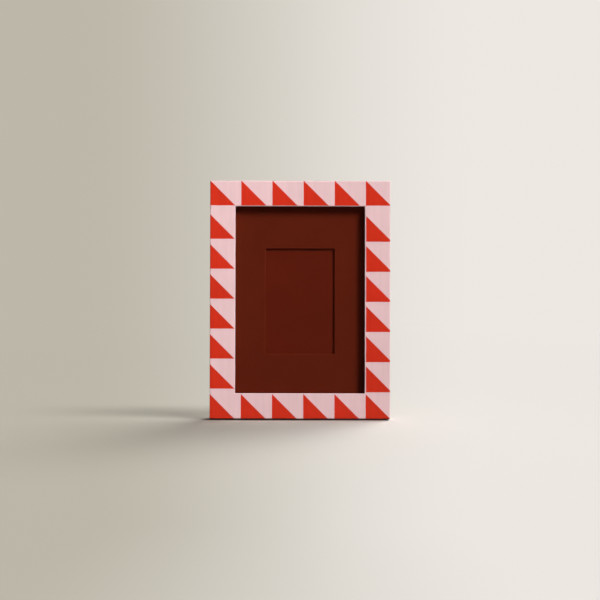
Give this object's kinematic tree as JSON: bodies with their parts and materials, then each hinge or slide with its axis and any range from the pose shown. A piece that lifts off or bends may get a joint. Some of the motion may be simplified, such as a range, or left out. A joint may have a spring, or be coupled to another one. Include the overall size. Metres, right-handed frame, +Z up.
{
  "type": "wooden picture frame",
  "caption": "Free-standing wooden picture frame with a border of triangles, glass, a windowed mat, a lift-out magnetic back and a folding strut.",
  "frame": {"origin": "centre of the frame's footprint, on the surface that it stands on", "axes": "+Z up, -Y towards the viewer (the glass side), +X to the viewer's right; the moulding leans back by 5 degrees"},
  "size_m": [0.1588, 0.0672, 0.21],
  "materials": {
    "rail_wood": "satin pink lacquer on the outside, bare pale wood in the rebates and on the back",
    "pink_veneer": "dyed veneer under satin clear lacquer",
    "red_veneer": "dyed veneer under satin clear lacquer",
    "glass": "clear, polished",
    "mat_board": "matt brown paper-faced board",
    "backing_card": "matt brown card",
    "fibreboard": "bare pressed fibreboard edges",
    "suede_cloth": "dark brown flocked covering, matt",
    "brass": "brushed sheet brass",
    "steel": "bright steel",
    "leather": "vegetable-tanned leather, semi-matt"
  },
  "bodies": {
    "moulding": {"top_rail": "rail_wood", "bottom_rail": "rail_wood", "left_stile": "rail_wood", "right_stile": "rail_wood", "corner_v_nails": "steel", "frame_magnets": "steel", "pink_veneer": "pink_veneer", "red_triangles": "red_veneer"},
    "glass": {"glass_pane": "glass"},
    "mat": {"mat_board": "mat_board"},
    "card": {"backing_card": "backing_card"},
    "back": {"back_panel": "fibreboard", "back_cover": "suede_cloth", "keeper_discs": "steel", "hinge_bracket": "brass", "hinge_pin": "steel", "bracket_rivets": "brass", "pull_tab": "leather", "tab_rivet": "brass"},
    "strut": {"strut_board": "fibreboard", "strut_cover": "suede_cloth", "strut_strap": "brass", "strap_rivets": "brass"}
  },
  "joints": [
    {"name": "back_lift", "type": "slide", "parent": "moulding", "child": "back", "axis": [0, 0.9962, -0.0872], "range_m": [0, 0.08]},
    {"name": "card_lift", "type": "slide", "parent": "moulding", "child": "card", "axis": [0, 0.9962, -0.0872], "range_m": [0, 0.06]},
    {"name": "mat_lift", "type": "slide", "parent": "moulding", "child": "mat", "axis": [0, 0.9962, -0.0872], "range_m": [0, 0.04]},
    {"name": "glass_lift", "type": "slide", "parent": "moulding", "child": "glass", "axis": [0, 0.9962, -0.0872], "range_m": [0, 0.02]},
    {"name": "strut_fold", "type": "hinge", "parent": "back", "child": "strut", "pos_m": [0, -0.00376, 0.13926], "axis": [1, 0, 0], "range_deg": [-18, 0]}
  ],
  "couplings": [
    {"joint": "card_lift", "follows": "back_lift", "ratio": 0.75},
    {"joint": "mat_lift", "follows": "back_lift", "ratio": 0.5},
    {"joint": "glass_lift", "follows": "back_lift", "ratio": 0.25}
  ]
}
